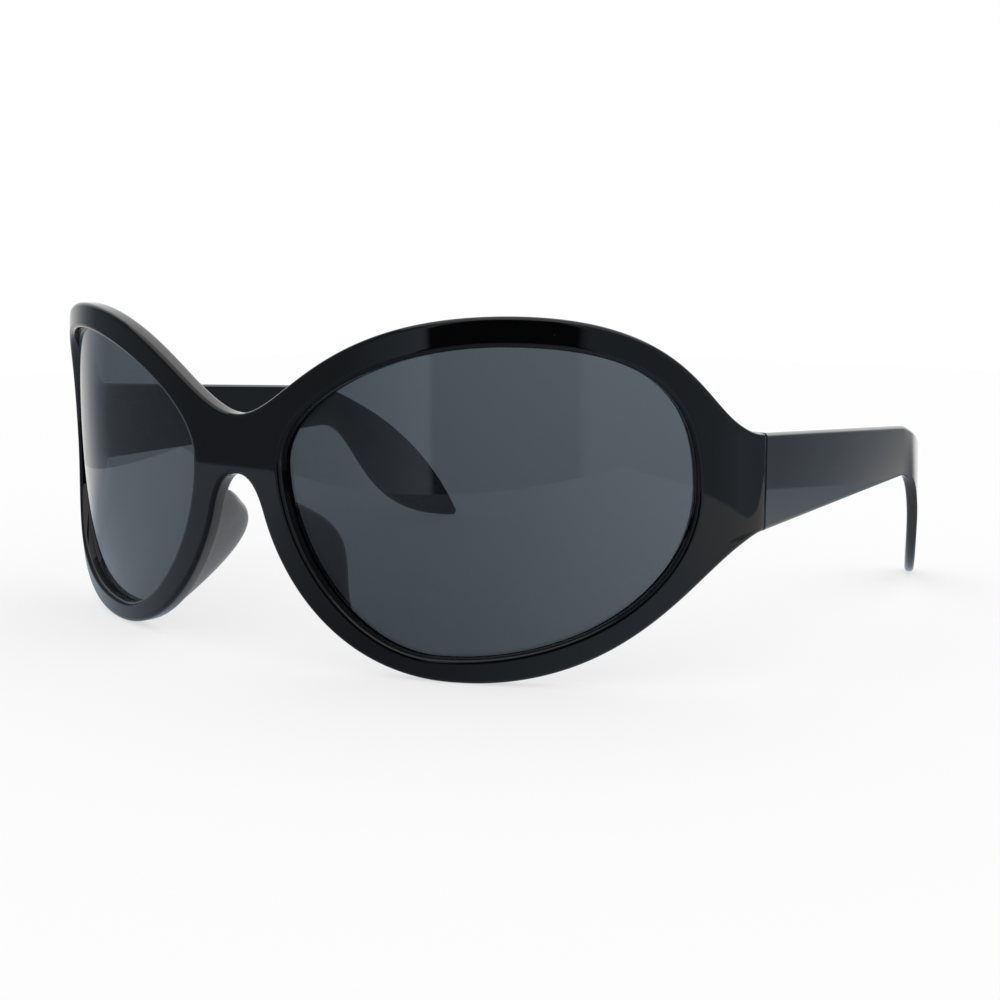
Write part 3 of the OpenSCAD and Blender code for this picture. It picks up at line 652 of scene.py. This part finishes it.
# painted light and shade of the floor as gloss sees it: dark in front of the glasses, bright behind them
floorLightAndShade = [(-90, 0.85), (-80, 0.5), (-72, 0.42), (-60, 0.5), (-45, 0.56), (-30, 0.50), (-15, 0.32), (0, 0.24),
              (15, 0.19), (30, 0.24), (45, 0.42), (60, 0.54), (75, 0.75), (90, 0.85), (118, 0.75), (130, 0.62),
              (140, 0.55), (150, 0.7), (160, 1.2), (235, 1.2), (250, 1.1), (262, 1.0), (270, 0.85)]
# painted light: a paler disc of floor under the glasses, as gloss sees it
underGlasses = {"color": (0.78, 0.8, 0.84), "radius": 0.066, "fullRadius": 0.0561}  # pale disc on the floor card


def stageMesh(name, verts, faces, mat):
    mesh = bpy.data.meshes.new(name)
    mesh.from_pydata(verts, [], faces)
    obj = bpy.data.objects.new(name, mesh)
    scene.collection.objects.link(obj)
    mesh.materials.append(mat)
    return obj


def flatSheet(name, side, near, far, height, mat):
    verts = [(-side, -near, height), (side, -near, height), (side, far, height), (-side, far, height)]
    return stageMesh(name, verts, [(0, 1, 2, 3)], mat)


# matt paper, with a glow for what the camera sees directly or through the lenses
def paperMaterial():
    mat, nodes, links, shader = newMaterial("whitePaper", studio["paperColor"], studio["paperRoughness"])
    shader.inputs["Specular IOR Level"].default_value = 0
    path = nodes.new("ShaderNodeLightPath")
    seen = mathNode(mat.node_tree, "MAXIMUM", path.outputs["Is Camera Ray"], path.outputs["Is Transmission Ray"])
    glow = nodes.new("ShaderNodeEmission")
    blend = nodes.new("ShaderNodeMixShader")
    links.new(mathNode(mat.node_tree, "MULTIPLY", seen, studio["paperGlow"]), blend.inputs["Fac"])
    links.new(shader.outputs["BSDF"], blend.inputs[1])
    links.new(glow.outputs["Emission"], blend.inputs[2])
    links.new(blend.outputs["Shader"], nodes["Material Output"].inputs["Surface"])
    return mat


# a glowing card with tones round the vertical axis, and a disc of another colour in its middle if given
def cardMaterial(name, tones, disc=None):
    mat = bpy.data.materials.new(name)
    mat.use_nodes = True
    nodes, links = mat.node_tree.nodes, mat.node_tree.links
    nodes.remove(nodes["Principled BSDF"])
    place, around = nodes.new("ShaderNodeTexCoord"), nodes.new("ShaderNodeTexGradient")
    around.gradient_type = "RADIAL"
    ramp, glow = nodes.new("ShaderNodeValToRGB"), nodes.new("ShaderNodeEmission")
    stops = ramp.color_ramp.elements  # it starts with two stops, at 0 and 1
    for i, (azimuth, tone) in enumerate(tones):
        isLast = i == len(tones) - 1
        stop = stops[0] if i == 0 else stops[-1] if isLast else stops.new((azimuth + 90) / 360)
        stop.color = (*(tone * (c if tone < studio["neutralFrom"] else 1) for c in studio["cardTint"]), 1)
    links.new(place.outputs["Object"], around.inputs["Vector"])
    links.new(around.outputs["Fac"], ramp.inputs["Fac"])
    color = ramp.outputs["Color"]
    if disc:
        reach = nodes.new("ShaderNodeVectorMath")
        reach.operation = "LENGTH"
        links.new(place.outputs["Object"], reach.inputs[0])
        inside = mapRange(mat.node_tree, reach.outputs["Value"], disc["radius"], disc["fullRadius"])
        color = mixColors(mat.node_tree, inside, color, disc["color"])
    links.new(color, glow.inputs["Color"])
    links.new(glow.outputs["Emission"], nodes["Material Output"].inputs["Surface"])
    return mat


def glossOnly(card):
    card.visible_camera = card.visible_diffuse = card.visible_transmission = card.visible_shadow = False


def addStudio():
    paper = flatSheet("paper", studio["paperSide"], studio["paperFront"], studio["paperBack"], 0, paperMaterial())
    paper.visible_glossy = False
    # the floor card glows with painted light and shade of the floor, seen only in reflections
    floorPaintedShade = cardMaterial("floorPaintedShadeGloss", floorLightAndShade, underGlasses)
    glossOnly(flatSheet("floorCard", studio["cardSide"], studio["cardFront"], studio["cardBack"],
                        studio["cardLift"], floorPaintedShade))
    count, r = studio["wallSides"], studio["wallRadius"]
    angles = [math.tau * i / count for i in range(count)]
    heights = (studio["wallBottom"], studio["wallTop"])
    verts = [(r * math.sin(a), -r * math.cos(a), z) for z in heights for a in angles]
    faces = [(i, (i + 1) % count, count + (i + 1) % count, count + i) for i in range(count)]
    glossOnly(stageMesh("wallCard", verts, faces, cardMaterial("wallCardGrey", wallTones)))

    world = bpy.data.worlds.new("whiteSurround")
    scene.world = world
    world.use_nodes = True
    back = world.node_tree.nodes["Background"]
    back.inputs["Color"].default_value = (*studio["worldColor"], 1)
    back.inputs["Strength"].default_value = studio["worldStrength"]


addStudio()
scene.view_settings.view_transform = "Standard"
print("studio set")
